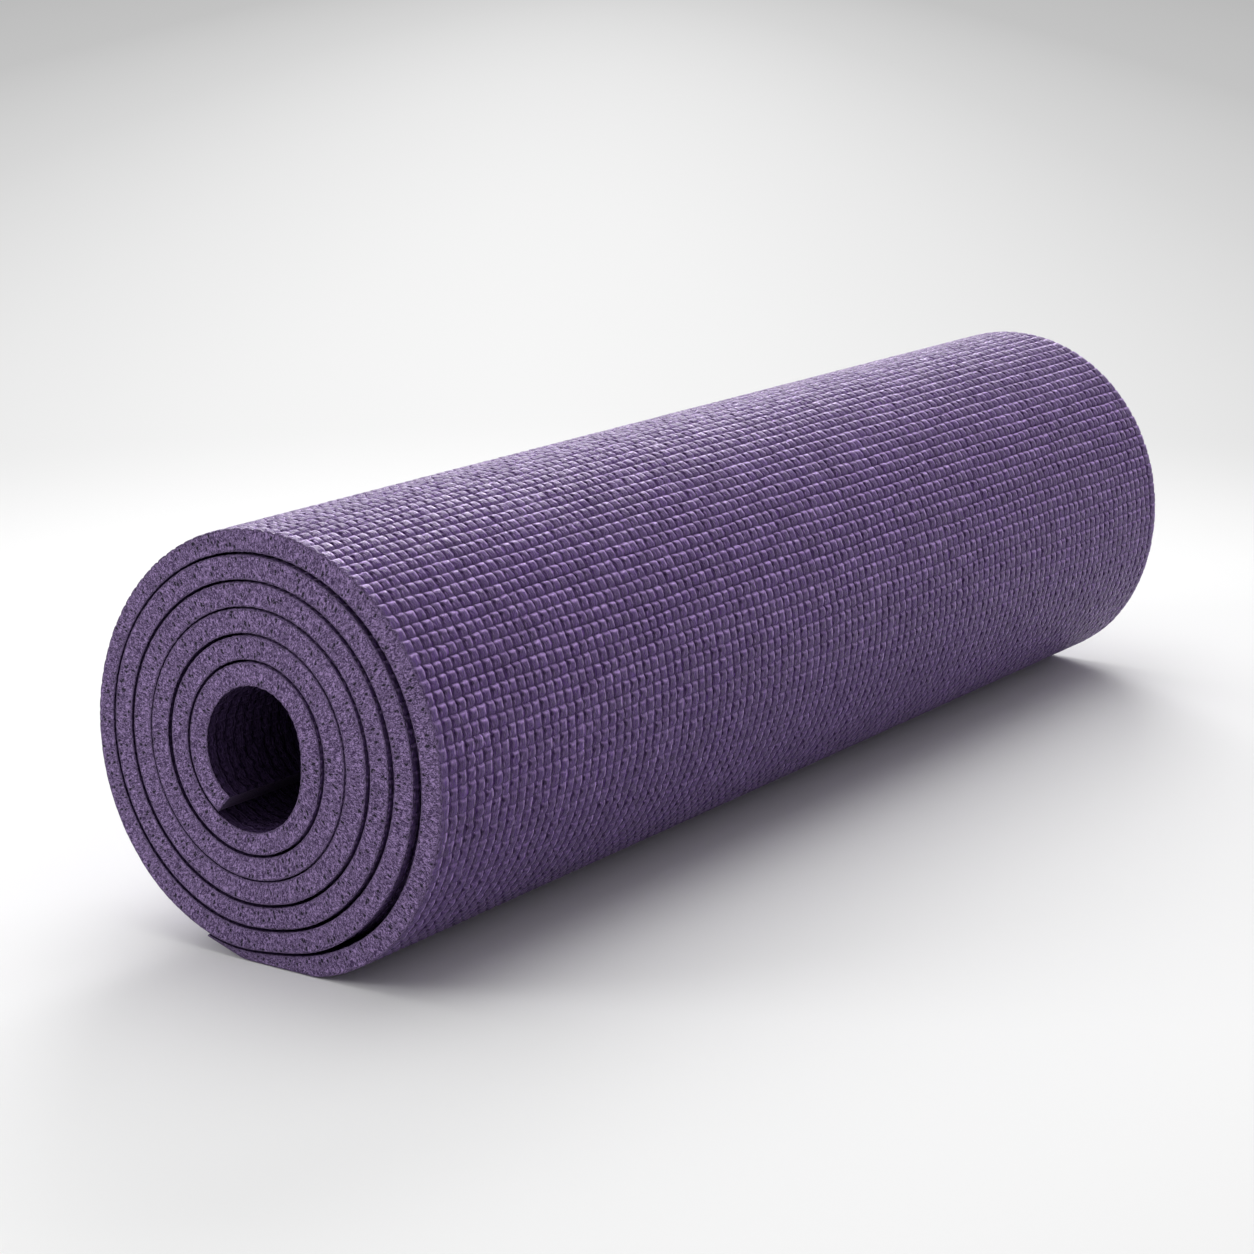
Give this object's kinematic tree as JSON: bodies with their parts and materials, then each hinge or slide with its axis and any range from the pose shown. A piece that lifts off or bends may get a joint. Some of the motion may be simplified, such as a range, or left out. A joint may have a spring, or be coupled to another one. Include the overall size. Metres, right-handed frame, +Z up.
{
  "type": "rolled exercise mat",
  "caption": "Thick foam exercise mat with a woven relief, wound into a loose roll that lies on its side, its outer flap able to unroll.",
  "frame": {"origin": "on the floor under the middle of the roll, halfway along it and halfway across it", "axes": "+Y along the roll's axis, away from the end face that shows the loose edge at the lower left; +X to the side where the last turn stands off and to which the mat unrolls; +Z up"},
  "size_m": [0.1704, 0.61, 0.1726],
  "materials": {
    "practice_foam": "matte",
    "scrim": "matte",
    "ground_foam": "matte"
  },
  "bodies": {
    "free_end": {"free_tip_practice_foam": "practice_foam", "free_tip_scrim": "scrim", "free_tip_ground_foam": "ground_foam", "free_end_practice_foam": "practice_foam", "free_end_scrim": "scrim", "free_end_ground_foam": "ground_foam"},
    "flap_1": {"flap_1_practice_foam": "practice_foam", "flap_1_scrim": "scrim", "flap_1_ground_foam": "ground_foam"},
    "flap_2": {"flap_2_practice_foam": "practice_foam", "flap_2_scrim": "scrim", "flap_2_ground_foam": "ground_foam"},
    "flap_3": {"flap_3_practice_foam": "practice_foam", "flap_3_scrim": "scrim", "flap_3_ground_foam": "ground_foam"},
    "flap_4": {"flap_4_practice_foam": "practice_foam", "flap_4_scrim": "scrim", "flap_4_ground_foam": "ground_foam"},
    "flap_5": {"flap_5_practice_foam": "practice_foam", "flap_5_scrim": "scrim", "flap_5_ground_foam": "ground_foam"},
    "flap_6": {"flap_6_practice_foam": "practice_foam", "flap_6_scrim": "scrim", "flap_6_ground_foam": "ground_foam"},
    "flap_7": {"flap_7_practice_foam": "practice_foam", "flap_7_scrim": "scrim", "flap_7_ground_foam": "ground_foam"},
    "flap_8": {"flap_8_practice_foam": "practice_foam", "flap_8_scrim": "scrim", "flap_8_ground_foam": "ground_foam"},
    "roll": {"roll_practice_foam": "practice_foam", "roll_scrim": "scrim", "roll_ground_foam": "ground_foam"}
  },
  "joints": [
    {"name": "unroll", "type": "hinge", "parent": "free_end", "child": "flap_1", "pos_m": [0.02719, 0, 0], "axis": [0, 1, 0], "range_deg": [0, 24.45]},
    {"name": "bend_2", "type": "hinge", "parent": "flap_1", "child": "flap_2", "pos_m": [0.05104, 0, 0.01085], "axis": [0, 1, 0], "range_deg": [0, 20.08]},
    {"name": "bend_3", "type": "hinge", "parent": "flap_2", "child": "flap_3", "pos_m": [0.07007, 0, 0.02957], "axis": [0, 1, 0], "range_deg": [0, 20.39]},
    {"name": "bend_4", "type": "hinge", "parent": "flap_3", "child": "flap_4", "pos_m": [0.08205, 0, 0.05515], "axis": [0, 1, 0], "range_deg": [0, 16.63]},
    {"name": "bend_5", "type": "hinge", "parent": "flap_4", "child": "flap_5", "pos_m": [0.0861, 0, 0.08238], "axis": [0, 1, 0], "range_deg": [0, 15.41]},
    {"name": "bend_6", "type": "hinge", "parent": "flap_5", "child": "flap_6", "pos_m": [0.08283, 0, 0.10915], "axis": [0, 1, 0], "range_deg": [0, 16.5]},
    {"name": "bend_7", "type": "hinge", "parent": "flap_6", "child": "flap_7", "pos_m": [0.07209, 0, 0.13389], "axis": [0, 1, 0], "range_deg": [0, 17.63]},
    {"name": "bend_8", "type": "hinge", "parent": "flap_7", "child": "flap_8", "pos_m": [0.05417, 0, 0.15445], "axis": [0, 1, 0], "range_deg": [0, 18.53]},
    {"name": "bend_9", "type": "hinge", "parent": "flap_8", "child": "roll", "pos_m": [0.03043, 0, 0.16838], "axis": [0, 1, 0], "range_deg": [0, 19.16]}
  ],
  "couplings": [
    {"joint": "bend_2", "follows": "unroll", "ratio": 0.82135},
    {"joint": "bend_3", "follows": "unroll", "ratio": 0.83404},
    {"joint": "bend_4", "follows": "unroll", "ratio": 0.68025},
    {"joint": "bend_5", "follows": "unroll", "ratio": 0.6303},
    {"joint": "bend_6", "follows": "unroll", "ratio": 0.67501},
    {"joint": "bend_7", "follows": "unroll", "ratio": 0.721},
    {"joint": "bend_8", "follows": "unroll", "ratio": 0.75796},
    {"joint": "bend_9", "follows": "unroll", "ratio": 0.78371}
  ]
}
